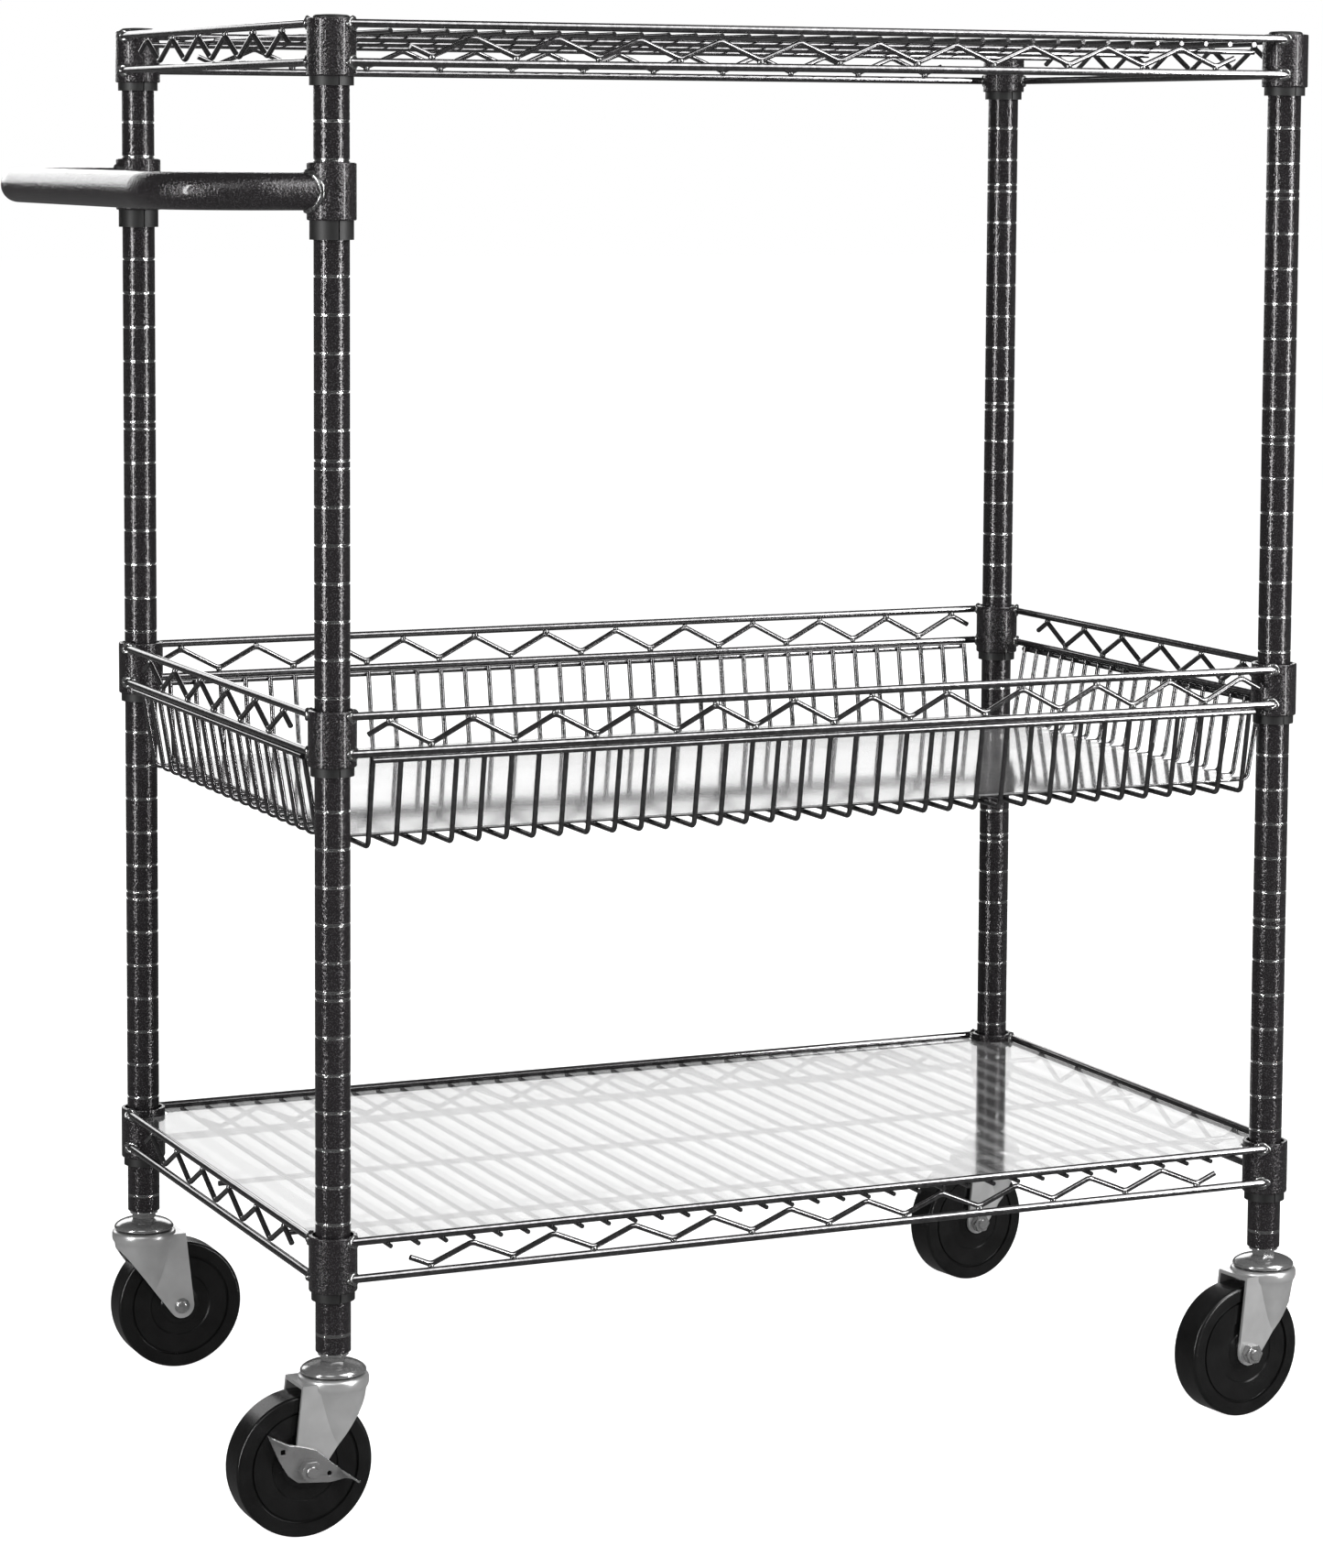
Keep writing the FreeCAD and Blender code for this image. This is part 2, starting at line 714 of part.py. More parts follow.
def caster_stem(label, where):
    """Riveted king pin, hexagon and flange, with the stud that screws into the post."""
    body = node_body(label)
    outline = add_outline(new_sketch(body, "XZ_Plane"), [
        ("0", f"{PLATE_UNDER} - 3.5"),
        ("6", f"{PLATE_UNDER} - 3.5"),
        ("7.6", f"{PLATE_UNDER} - 2"),
        ("7.6", f"{PLATE_UNDER} - 0.2"),
        ("king_pin_dia / 2", f"{PLATE_UNDER} - 0.2"),
        ("king_pin_dia / 2", HEX_FOOT),
        ("7.9", HEX_FOOT),
        ("7.9", "post_bottom - 1.8"),
        ("10.4", "post_bottom - 1.8"),
        ("10.4", "post_bottom - 0.1"),
        ("4.8", "post_bottom - 0.1"),
        ("4.8", "post_bottom + 18"),
        ("0", "post_bottom + 18"),
    ])
    turn(body, outline)
    pad(body, hexagon(new_sketch(body, "XY_Plane", HEX_FOOT), "16"), "hex_height")
    place(body, *where)


def ball_track(body, slack):
    """A round groove for the swivel balls."""
    section = new_sketch(body, "XZ_Plane")
    add_circle(section, "ball_circle / 2", "ball_height", f"ball_dia + 2 * {slack}")
    turned_cut(body, section)


def dust_cover(label, where):
    """The domed upper race, fixed under the stem."""
    body = node_body(label)
    rim = "(cover_dia / 2)"
    rim_top = "(ball_height + 0.9)"
    dome = [
        (f"{rim} * cos({angle})", f"{rim_top} + cover_dome * sin({angle})")
        for angle in range(0, 61, 10)
    ]
    top = f"{rim_top} + cover_dome - 0.2"
    turn(body, add_outline(new_sketch(body, "XZ_Plane"), [
        ("5.1", "ball_height"),
        (f"{rim} - 0.8", "ball_height"),
        *dome,
        ("8", top),
        ("5.1", top),
    ]))
    ball_track(body, "0.12")
    place(body, *where)


def fork(label, where, swivel):
    """Stamped fork: a round race cup that runs down into two tapering legs."""
    body = node_body(label)
    lead_x = f"(caster_lead - {LEG_END} * cos({LEADING_ANGLE}))"
    lead_z = f"({AXLE_Z} - {LEG_END} * sin({LEADING_ANGLE}))"
    trail_x = f"(caster_lead + {LEG_END} * cos({TRAILING_ANGLE}))"
    trail_z = f"({AXLE_Z} + {LEG_END} * sin({TRAILING_ANGLE}))"
    shoulder_x = f"({trail_x} - (fork_top - {trail_z}) * tan({TRAILING_ANGLE}))"
    leading_at = f"{lead_x} - (%s - {lead_z}) * tan({LEADING_ANGLE})"
    front_x = "-12"
    front_z = f"{lead_z} + ({lead_x} - {front_x}) / tan({LEADING_ANGLE})"
    legs = add_outline(new_sketch(body, "XZ_Plane"), [
        (lead_x, lead_z),
        (trail_x, trail_z),
        (shoulder_x, "fork_top"),
        (front_x, "fork_top"),
        (front_x, front_z),
    ])
    pad(body, legs, "fork_width", symmetric=True)
    ends = add_circle(new_sketch(body, "XZ_Plane"), "caster_lead", AXLE_Z, f"2 * {LEG_END}")
    pad(body, ends, "fork_width", symmetric=True)
    skirt_foot, skirt_top = "60", "97.5"
    turn(body, add_outline(new_sketch(body, "XZ_Plane"), [
        ("0", skirt_foot),
        ("fork_width / 2 - 0.1", skirt_foot),
        ("race_dia / 2 - 1.8", skirt_top),
        ("race_dia / 2 - 0.5", f"{skirt_top} + 2.2"),
        ("race_dia / 2", f"{skirt_top} + 4"),
        ("race_dia / 2", "race_top - 2.4"),
        ("race_dia / 2 - 0.4", "race_top - 1.1"),
        ("race_dia / 2 - 1.3", "race_top - 0.3"),
        ("race_dia / 2 - 2.4", "race_top"),
        ("0", "race_top"),
    ]))
    in_front = add_outline(new_sketch(body, "XZ_Plane"), [
        (leading_at % skirt_top, skirt_top),
        ("-race_dia", skirt_top),
        ("-race_dia", "30"),
        (leading_at % "30", "30"),
    ])
    pocket(body, in_front, "2 * race_dia")
    wall = "2.3"
    turned_cut(body, add_outline(new_sketch(body, "XZ_Plane"), [
        ("0", f"{skirt_foot} - 1"),
        (f"fork_width / 2 - {wall}", f"{skirt_foot} - 1"),
        (f"race_dia / 2 - 1.8 - {wall}", skirt_top),
        (f"race_dia / 2 - 1.8 - {wall}", PLATE_UNDER),
        ("0", PLATE_UNDER),
    ]))
    wheel_gap = add_outline(new_sketch(body, "XZ_Plane"), [
        ("-race_dia", "10"),
        ("2 * race_dia", "10"),
        ("2 * race_dia", PLATE_UNDER),
        ("0", PLATE_UNDER),
        ("-6", "95"),
        ("-14", "86"),
        ("-race_dia", "60"),
    ])
    pocket(body, wheel_gap, "fork_slot")
    axle_hole = new_sketch(body, "XZ_Plane")
    pocket(body, add_circle(axle_hole, "caster_lead", AXLE_Z, "axle_dia + 0.2"), "2 * fork_width")
    pin_hole = add_circle(new_sketch(body, "XY_Plane"), "0", "0", f"king_pin_dia + {PIN_CLEARANCE}")
    pocket(body, pin_hole, "4 * race_top")
    ball_track(body, "0.15")
    place(body, *where, swivel)


def swivel_balls():
    """The ring of balls between each fork and its dust cover."""
    count = 16
    radius = value("ball_dia") / 2
    circle = value("ball_circle") / 2
    balls = []
    for side_x, side_y in CORNERS.values():
        for i in range(count):
            angle = 2 * math.pi * i / count
            x = side_x * value(POST_X) + circle * math.cos(angle)
            y = side_y * value(POST_Y) + circle * math.sin(angle)
            balls.append(Part.makeSphere(radius, Vector(x, y, 0)))
    wire_node("swivel_balls", balls, "ball_height")


def wheel(label, centre, swivel):
    """A solid wheel with a stepped web, ring grooves and rounded tread edges."""
    body = node_body(label)
    tread, face = "wheel_dia / 2", "wheel_width / 2"
    half = [
        ("axle_sleeve_dia / 2 + 0.07", f"{face} + 1.1"),
        ("10.5", f"{face} + 1.1"),
        ("11.2", f"{face} + 0.4"),
        ("14.5", f"{face} - 0.8"),
        ("15.3", f"{face} - 1.6"),
        ("23", f"{face} - 1.6"),
        ("23.8", f"{face} - 0.7"),
        (f"{tread} - 11.8", f"{face} - 0.7"),
        (f"{tread} - 11.3", f"{face} - 1.7"),
        (f"{tread} - 10.3", f"{face} - 1.7"),
        (f"{tread} - 9.8", face),
        (tread, face),
    ]
    other_half = [(x, f"-({y})") for x, y in reversed(half)]
    disc = turn(body, add_outline(new_sketch(body, "XY_Plane"), half + other_half))
    rounded(body, disc, 2.5, lambda edge: is_ring(edge, value(tread)))
    place(body, *centre, swivel)


def axle_sleeve(label, centre, swivel):
    """The steel sleeve between the fork's legs, on which the wheel turns."""
    body = node_body(label)
    section = new_sketch(body, "XZ_Plane")
    add_circle(section, "0", "0", "axle_sleeve_dia")
    add_circle(section, "0", "0", "axle_dia + 0.2")
    pad(body, section, "fork_slot - 0.2", symmetric=True)
    place(body, *centre, swivel)


def axle_bolt(label, centre, swivel, stack):
    """A domed head outside one leg, and a shank long enough for what is outside the other."""
    body = node_body(label)
    seat = "-(fork_width / 2 + 0.1)"
    tip = f"fork_width / 2 + {stack} + 8.2"
    turn(body, add_outline(new_sketch(body, "XY_Plane"), [
        ("0", f"{seat} - 4"),
        ("2.4", f"{seat} - 3.7"),
        ("4.4", f"{seat} - 2.7"),
        ("5.7", f"{seat} - 1.2"),
        ("6", seat),
        ("axle_dia / 2", seat),
        ("axle_dia / 2", f"{tip} - 0.7"),
        ("axle_dia / 2 - 0.7", tip),
        ("0", tip),
    ]))
    place(body, *centre, swivel)


def axle_nut(label, centre, swivel, stack):
    body = node_body(label)
    inner_face = f"fork_width / 2 + {stack} + 0.1"
    # the XZ plane's normal points to -Y, so the outer face is a negative lift
    section = new_sketch(body, "XZ_Plane", f"-({inner_face}) - 6.3")
    hexagon(section, "nut_size")
    add_circle(section, "0", "0", "axle_dia + 0.1")
    pad(body, section, "6.3")
    place(body, *centre, swivel)


def brake_lever(label, centre, swivel):
    """A butterfly lever on the axle: a leaf-shaped plate with a folded lip at either end."""
    body = node_body(label)
    inner_face = "(fork_width / 2 + 0.15)"
    tip_up, tip_down = ("29", "26.5"), ("-35", "-11.5")
    plate_edge = [
        tip_up,
        ("13.4", "18.5"),
        ("-5", "12.6"),
        ("-12", "7"),
        ("-22", "-1.7"),
        tip_down,
        ("-26", "-9.4"),
        ("-16", "-10.8"),
        ("7.5", "-8.5"),
        ("14.5", "-3"),
        ("21", "8"),
    ]
    plate = new_sketch(body, "XZ_Plane", f"-({inner_face} + lever_thickness)")
    pad(body, add_outline(plate, plate_edge), "lever_thickness")
    lips = new_sketch(body, "XZ_Plane", f"-({inner_face} + 8)")
    add_outline(lips, [tip_up, ("13.4", "18.5"), ("12.9", "16.7"), ("28", "24.9")])
    add_outline(lips, [("-22", "-1.7"), tip_down, ("-33.6", "-12.1"), ("-22.4", "-3.9")])
    pad(body, lips, "8")
    holes = new_sketch(body, "XZ_Plane", f"-{inner_face}")
    add_circle(holes, "0", "0", f"axle_dia + {PIN_CLEARANCE}")
    add_circle(holes, "-15", "-4.5", "3.4")
    add_outline(holes, [("16.5", "12"), ("20", "12"), ("20", "15.5"), ("16.5", "15.5")])
    pocket(body, holes, "20")
    place(body, *centre, swivel)


def casters():
    for corner, (side_x, side_y) in CORNERS.items():
        x = f"{CART_X} + {side_x} * {POST_X}"
        y = f"{side_y} * {POST_Y}"
        swivel = f"{corner}_swivel"
        centre = (
            f"{x} + caster_lead * cos({swivel})",
            f"{y} + caster_lead * sin({swivel})",
            AXLE_Z,
        )
        braked = corner in BRAKED
        stack = "(lever_thickness + 0.2)" if braked else "0"
        caster_stem(f"{corner}_caster_stem", (x, y))
        dust_cover(f"{corner}_dust_cover", (x, y))
        fork(f"{corner}_fork", (x, y, "0"), swivel)
        wheel(f"{corner}_wheel", centre, swivel)
        axle_sleeve(f"{corner}_axle_sleeve", centre, swivel)
        axle_bolt(f"{corner}_axle_bolt", centre, swivel, stack)
        axle_nut(f"{corner}_axle_nut", centre, swivel, stack)
        if braked:
            brake_lever(f"{corner}_brake_lever", centre, swivel)
    swivel_balls()


# ---------------------------------------------------------------- the cart

def build():
    lower = collar_level("lower_shelf_groove")
    basket = collar_level("basket_groove")
    upper = collar_level("upper_shelf_groove")
    posts()
    post_caps()
    post_inserts()
    joining_studs()
    split_sleeves()
    for name, level in (("upper_shelf", upper), ("lower_shelf", lower)):
        shelf_collars(f"{name}_collars", level)
        shelf_rails(f"{name}_rails", level)
        zigzags(f"{name}_zigzags", level, deck=True)
        deck_wires(f"{name}_deck_wires", level)
    shelf_collars("basket_collars", basket)
    shelf_rails("basket_rails", basket, rim=True)
    zigzags("basket_zigzags", basket, deck=False)
    basket_wires(basket)
    liner("lower_shelf_liner", lower, f"{DECK} + deck_dia / 2", "lower_liner_margin")
    liner("basket_liner", basket, f"{LONG_WIRE_FLOOR} + basket_wire_dia / 2",
          "basket_liner_margin")
    handle_tube(HANDLE_LEVEL)
    handle_collars(HANDLE_LEVEL)
    casters()


def check_and_write():
    doc.recompute()
    for item in doc.Objects:
        if "Invalid" in item.State or "Error" in item.State:
            raise RuntimeError(f"{item.Label} failed: {item.State}")
    os.makedirs("parts", exist_ok=True)
    box = FreeCAD.BoundBox()
    for node in nodes:
        if node.Shape.isNull() or not node.Shape.isValid() or not node.Shape.Solids:
            raise RuntimeError(f"{node.Label} has no sound shape")
        node.Shape.exportStep(f"parts/{node.Label}.step")
        box.add(node.Shape.BoundBox)
        print(f"{node.Label}: {len(node.Shape.Solids)} solids, {node.Shape.Volume:.0f} mm3")
    print(f"{len(nodes)} nodes in {box}")


build()
check_and_write()
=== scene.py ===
import math
import random

import bmesh
import bpy
from mathutils import Matrix, Vector


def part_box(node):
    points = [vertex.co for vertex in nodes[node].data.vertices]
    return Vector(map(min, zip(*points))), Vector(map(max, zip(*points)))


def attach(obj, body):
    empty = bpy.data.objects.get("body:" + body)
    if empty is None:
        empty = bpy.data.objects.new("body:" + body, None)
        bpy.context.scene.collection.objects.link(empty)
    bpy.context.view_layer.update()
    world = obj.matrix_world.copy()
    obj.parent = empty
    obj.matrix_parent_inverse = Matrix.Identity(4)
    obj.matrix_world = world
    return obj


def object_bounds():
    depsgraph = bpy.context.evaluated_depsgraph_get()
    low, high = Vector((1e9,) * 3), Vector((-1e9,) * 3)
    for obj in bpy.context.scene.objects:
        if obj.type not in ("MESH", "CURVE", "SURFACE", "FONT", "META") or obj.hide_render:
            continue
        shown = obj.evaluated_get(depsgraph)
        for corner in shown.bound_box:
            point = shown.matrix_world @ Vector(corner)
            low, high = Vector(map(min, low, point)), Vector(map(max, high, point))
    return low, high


# The looks of a wire shelf cart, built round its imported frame. Everything is in metres.

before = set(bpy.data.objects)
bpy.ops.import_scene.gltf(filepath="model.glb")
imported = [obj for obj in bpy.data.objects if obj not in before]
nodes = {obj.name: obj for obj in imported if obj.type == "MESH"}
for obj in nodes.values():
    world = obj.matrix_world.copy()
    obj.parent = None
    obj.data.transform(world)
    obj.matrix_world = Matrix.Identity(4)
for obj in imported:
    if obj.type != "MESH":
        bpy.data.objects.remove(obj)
cad_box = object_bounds()

CORNERS = ("front_left", "back_left", "front_right", "back_right")

# Rails meet the collars beside the post's axis, one above the other
COLLAR_RADIUS = 0.0165
RAIL_RADIUS = 0.0028
RAIL_OFFSET = 0.0125
RAIL_GAP = 0.0254

# Grooves rolled into the posts, counted up from the foot; every seventh is double
GROOVE_PITCH = 0.0254
FIRST_GROOVE = 0.0635
DOUBLE_GROOVE_GAP = 0.0054
GROOVES_PER_DOUBLE = 7
# Half width of the painted highlight band along each groove
GROOVE_HALF_WIDTH = 0.0009

# Deck wires across the lower shelf, on long cross wires set in from the posts
DECK_PITCH = 0.020
CROSS_WIRE_INSET = 0.060
CROSS_WIRE_SHADE = 0.005

# Radii of the welds' lumps and beads
NUGGET = 0.0024
RAIL_BEAD = 0.0021
HANDLE_BEAD = 0.0024

SOFT_EDGE = 0.0003

random.seed(3)


# ---------------------------------------------------------------- node materials

def new_material(name):
    """A material with just its output and a Principled shader."""
    made = bpy.data.materials.new(name)
    made.use_nodes = True
    tree = made.node_tree
    tree.nodes.clear()
    output = tree.nodes.new("ShaderNodeOutputMaterial")
    shader = tree.nodes.new("ShaderNodeBsdfPrincipled")
    tree.links.new(shader.outputs[0], output.inputs["Surface"])
    return made, tree, shader


def noise(tree, scale, detail=3.0, roughness=0.55, stretch=(1, 1, 1)):
    """Noise in the object's own frame, in metres, so scale 1000 is about a millimetre."""
    place = tree.nodes.new("ShaderNodeTexCoord")
    mapping = tree.nodes.new("ShaderNodeMapping")
    mapping.inputs["Scale"].default_value = stretch
    texture = tree.nodes.new("ShaderNodeTexNoise")
    texture.inputs["Scale"].default_value = scale
    texture.inputs["Detail"].default_value = detail
    texture.inputs["Roughness"].default_value = roughness
    tree.links.new(place.outputs["Object"], mapping.inputs["Vector"])
    tree.links.new(mapping.outputs["Vector"], texture.inputs["Vector"])
    return texture.outputs["Fac"]


def ramp(tree, value, stops):
    """A colour ramp whose stops are (position, grey or colour)."""
    made = tree.nodes.new("ShaderNodeValToRGB")
    while len(made.color_ramp.elements) < len(stops):
        made.color_ramp.elements.new(1.0)
    for element, (position, colour) in zip(made.color_ramp.elements, stops):
        element.position = position
        grey = (colour,) * 3 if isinstance(colour, (int, float)) else colour
        element.color = (*grey, 1.0)
    tree.links.new(value, made.inputs["Fac"])
    return made.outputs["Color"]


def span(tree, value, low, high):
    """Maps 0..1 to low..high."""
    made = tree.nodes.new("ShaderNodeMapRange")
    made.inputs["To Min"].default_value = low
    made.inputs["To Max"].default_value = high
    tree.links.new(value, made.inputs["Value"])
    return made.outputs["Result"]


def bumped(tree, shader, layers):
    """Stacks bump nodes, each from (height, strength, distance in metres)."""
    before = None
    for height, strength, distance in layers:
        bump = tree.nodes.new("ShaderNodeBump")
        bump.inputs["Strength"].default_value = strength
        bump.inputs["Distance"].default_value = distance
        tree.links.new(height, bump.inputs["Height"])
        if before:
            tree.links.new(before, bump.inputs["Normal"])
        before = bump.outputs["Normal"]
    tree.links.new(before, shader.inputs["Normal"])


def maths(tree, operation, *values):
    """One arithmetic node; each value is a socket or a number."""
    made = tree.nodes.new("ShaderNodeMath")
    made.operation = operation
    for socket, value in zip(made.inputs, values):
        if isinstance(value, (int, float)):
            socket.default_value = value
        else:
            tree.links.new(value, socket)
    return made.outputs["Value"]


def object_axis(tree, axis):
    """One coordinate in the object's own frame, in metres."""
    place = tree.nodes.new("ShaderNodeTexCoord")
    parts = tree.nodes.new("ShaderNodeSeparateXYZ")
    tree.links.new(place.outputs["Object"], parts.inputs["Vector"])
    return parts.outputs[axis]


def bars(tree, along, middle, half_width, pitch=None):
    """1 over a soft-edged bar along one coordinate, repeated at the pitch if there is one."""
    away = maths(tree, "SUBTRACT", along, middle)
    away = maths(tree, "PINGPONG", away, pitch / 2) if pitch else maths(tree, "ABSOLUTE", away)
    bar = tree.nodes.new("ShaderNodeMapRange")
    bar.inputs["From Min"].default_value = half_width * 1.15
    bar.inputs["From Max"].default_value = half_width * 0.85
    tree.links.new(away, bar.inputs["Value"])
    return bar.outputs["Result"]


def blended(tree, share, below, above):
    """A colour between two, each of them a socket or a grey."""
    mix = tree.nodes.new("ShaderNodeMix")
    mix.data_type = "RGBA"
    tree.links.new(share, mix.inputs["Factor"])
    for socket, colour in (("A", below), ("B", above)):
        if isinstance(colour, float):
            mix.inputs[socket].default_value = (colour, colour, colour, 1.0)
        else:
            tree.links.new(colour, mix.inputs[socket])
    return mix.outputs["Result"]


def hammertone(name, ripple, grooves=None):
    """Charcoal powder coat: a rippled skin with fine bright flecks, and painted highlights along the
    grooves.
    """
    made, tree, shader = new_material(name)
    shader.inputs["Metallic"].default_value = 0.5
    fleck = noise(tree, 1100.0, 1.0)
    colour = ramp(tree, fleck, [
        (0.0, (0.012, 0.011, 0.012)),
        (0.52, (0.020, 0.018, 0.019)),
        (0.66, (0.045, 0.043, 0.045)),
    ])
    cloud = noise(tree, 420.0)
    if grooves:
        height = object_axis(tree, "Z")
        rings = [bars(tree, height, first, GROOVE_HALF_WIDTH, pitch) for first, pitch in grooves]
        # Painted highlight: each groove band is made bright grey metal, in place of the light that the
        # grooves' lips catch
        groove_highlight = maths(tree, "MAXIMUM", *rings)
        colour = blended(tree, groove_highlight, colour, 0.5)
        metal = maths(tree, "MULTIPLY_ADD", groove_highlight, 0.5, 0.5)
        tree.links.new(metal, shader.inputs["Metallic"])
    tree.links.new(colour, shader.inputs["Base Color"])
    tree.links.new(span(tree, cloud, 0.08, 0.15), shader.inputs["Roughness"])
    shader.inputs["Coat Weight"].default_value = 0.25
    shader.inputs["Coat Roughness"].default_value = 0.06
    bumped(tree, shader, [
        (noise(tree, 560.0, 2.0), ripple, 0.0010),
        (noise(tree, 1900.0, 2.0), ripple * 0.5, 0.0001),
    ])
    return made


def wire_coat():
    """The same coat on the drawn wires, thin enough to stay smooth and bright."""
    made, tree, shader = new_material("wire_coat")
    shade = noise(tree, 300.0, 3.0)
    tree.links.new(ramp(tree, shade, [
        (0.35, (0.12, 0.118, 0.12)),
        (0.70, (0.20, 0.197, 0.20)),
    ]), shader.inputs["Base Color"])
    tree.links.new(span(tree, shade, 0.08, 0.16), shader.inputs["Roughness"])
    shader.inputs["Metallic"].default_value = 0.95
    bumped(tree, shader, [(noise(tree, 500.0, 1.0), 0.10, 0.0002)])
    return made


def welded_metal():
    """Coat run thin and bright over a weld's ripples."""
    made, tree, shader = new_material("weld_coat")
    shade = noise(tree, 500.0, 2.0)
    tree.links.new(ramp(tree, shade, [(0.35, 0.10), (0.65, 0.34)]), shader.inputs["Base Color"])
    tree.links.new(span(tree, shade, 0.12, 0.28), shader.inputs["Roughness"])
    shader.inputs["Metallic"].default_value = 0.9
    bumped(tree, shader, [(noise(tree, 900.0, 2.0), 0.4, 0.0003)])
    return made


def black_plastic():
    """Matte moulded plastic with a fine spark-eroded grain."""
    made, tree, shader = new_material("black_plastic")
    shade = noise(tree, 60.0)
    tree.links.new(ramp(tree, shade, [(0.3, 0.004), (0.7, 0.008)]), shader.inputs["Base Color"])
    tree.links.new(span(tree, shade, 0.42, 0.58), shader.inputs["Roughness"])
    bumped(tree, shader, [(noise(tree, 2500.0), 0.15, 0.0001)])
    return made


def wheel_plastic():
    """Hard moulded wheel: near black and semi-gloss, a little uneven."""
    made, tree, shader = new_material("wheel_plastic")
    shade = noise(tree, 45.0, 5.0)
    tree.links.new(ramp(tree, shade, [(0.3, 0.003), (0.75, 0.006)]), shader.inputs["Base Color"])
    tree.links.new(span(tree, noise(tree, 90.0, 3.0), 0.20, 0.30), shader.inputs["Roughness"])
    shader.inputs["Specular IOR Level"].default_value = 0.3
    bumped(tree, shader, [(noise(tree, 900.0, 3.0), 0.12, 0.0001)])
    return made


def zinc(name, tone, low, high, unevenness):
    """Zinc plate over steel, softly clouded and a little uneven."""
    made, tree, shader = new_material(name)
    cloud = noise(tree, 60.0, 4.0, 0.5)
    tree.links.new(ramp(tree, cloud, [
        (0.25, tone * 0.88),
        (0.55, tone),
        (0.80, tone * 1.12),
    ]), shader.inputs["Base Color"])
    streak = noise(tree, 90.0, 2.0, 0.4, stretch=(1, 1, 0.3))
    tree.links.new(span(tree, streak, low, high), shader.inputs["Roughness"])
    shader.inputs["Metallic"].default_value = 0.75
    bumped(tree, shader, [(noise(tree, 50.0, 1.0), unevenness, 0.0004)])
    return made


def liner_film(name, pale, shaded=None, deck=None):
    """Frosted see-through sheet, greyer where it lies in the shade of the deck wires."""
    made, tree, shader = new_material(name)
    milk = noise(tree, 12.0, 3.0)
    colour = ramp(tree, milk, [(0.3, pale * 0.97), (0.7, pale)])
    if deck:
        across = bars(tree, object_axis(tree, "X"), deck["first"], deck["pitch"] * 0.30, deck["pitch"])
        beams = bars(tree, object_axis(tree, "Y"), 0.0, CROSS_WIRE_SHADE, deck["cross_pitch"])
        colour = blended(tree, maths(tree, "MAXIMUM", across, beams), colour, shaded)
    tree.links.new(colour, shader.inputs["Base Color"])
    tree.links.new(span(tree, milk, 0.05, 0.11), shader.inputs["Roughness"])
    shader.inputs["Alpha"].default_value = 0.62
    shader.inputs["IOR"].default_value = 1.5
    bumped(tree, shader, [(noise(tree, 18.0, 1.0), 0.03, 0.002)])
    return made


def deck_pattern():
    """Where the lower shelf's deck wires and long cross wires lie."""
    low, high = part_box("lower_shelf_deck_wires")
    return {
        "first": (low.x + high.x) / 2 + DECK_PITCH / 2,
        "pitch": DECK_PITCH,
        "cross_pitch": -post_axis("front_left").y - CROSS_WIRE_INSET,
    }


def groove_pattern():
    """First height and pitch of the single grooves, and of those that make them double."""
    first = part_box("front_left_lower_post")[0].z + FIRST_GROOVE
    return [
        (first, GROOVE_PITCH),
        (first + DOUBLE_GROOVE_GAP, GROOVES_PER_DOUBLE * GROOVE_PITCH),
    ]


# ---------------------------------------------------------------- helpers for pieces

def dress(node, material):
    """Gives a CAD node one material; its mesh stays as it is."""
    mesh = nodes[node].data
    mesh.materials.clear()
    mesh.materials.append(material)


def soften_edges(node, width):
    """Rounds a stamped or turned piece's sharp edges; the CAD mesh itself stays as it is."""
    weld = nodes[node].modifiers.new("join_faces", "WELD")
    weld.merge_threshold = 0.00001
    bevel = nodes[node].modifiers.new("soft_edges", "BEVEL")
    bevel.width = width
    bevel.segments = 2
    bevel.limit_method = "ANGLE"
    bevel.angle_limit = math.radians(35)
    bevel.harden_normals = True


def mesh_object(name, vertices, faces):
    """A smooth-shaded mesh piece in the scene."""
    mesh = bpy.data.meshes.new(name)
    mesh.from_pydata(vertices, [], faces)
    mesh.update()
    mesh.shade_smooth()
    made = bpy.data.objects.new(name, mesh)
    bpy.context.scene.collection.objects.link(made)
    return made


def finish_piece(piece, body, material):
    """Gives a piece its material, and says what it rides on."""
    piece.data.materials.append(material)
    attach(piece, body)
    return piece


# ---------------------------------------------------------------- welds

def bead_grid(path, thickness, around, first):
    """Vertices and faces of a closed bead: rings of the given thickness along a closed path."""
    steps = len(path)
    vertices = []
    for i, (centre, outward, along) in enumerate(path):
        for k in range(around):
            angle = 2 * math.pi * k / around
            reach = thickness[i]
            vertices.append(centre + (outward * math.cos(angle) + along * math.sin(angle)) * reach)
    faces = []
    for i in range(steps):
        after = (i + 1) % steps
        for k in range(around):
            beside = (k + 1) % around
            faces.append([first + j for j in (
                i * around + k, after * around + k, after * around + beside, i * around + beside)])
    return vertices, faces


def weld_path(post, heading, offset, height, rod, steps):
    """Where a rod meets a collar: the rod runs off along heading, beside the post's axis."""
    side = Vector((-heading.y, heading.x, 0.0))
    path = []
    for i in range(steps):
        angle = 2 * math.pi * i / steps
        aside = offset + rod * math.cos(angle)
        forward = math.sqrt(max(COLLAR_RADIUS ** 2 - aside ** 2, 0.0))
        centre = post + side * aside + heading * forward
        centre.z = height + rod * math.sin(angle)
        outward = side * math.cos(angle) + Vector((0, 0, math.sin(angle)))
        path.append((centre, outward, heading))
    return path


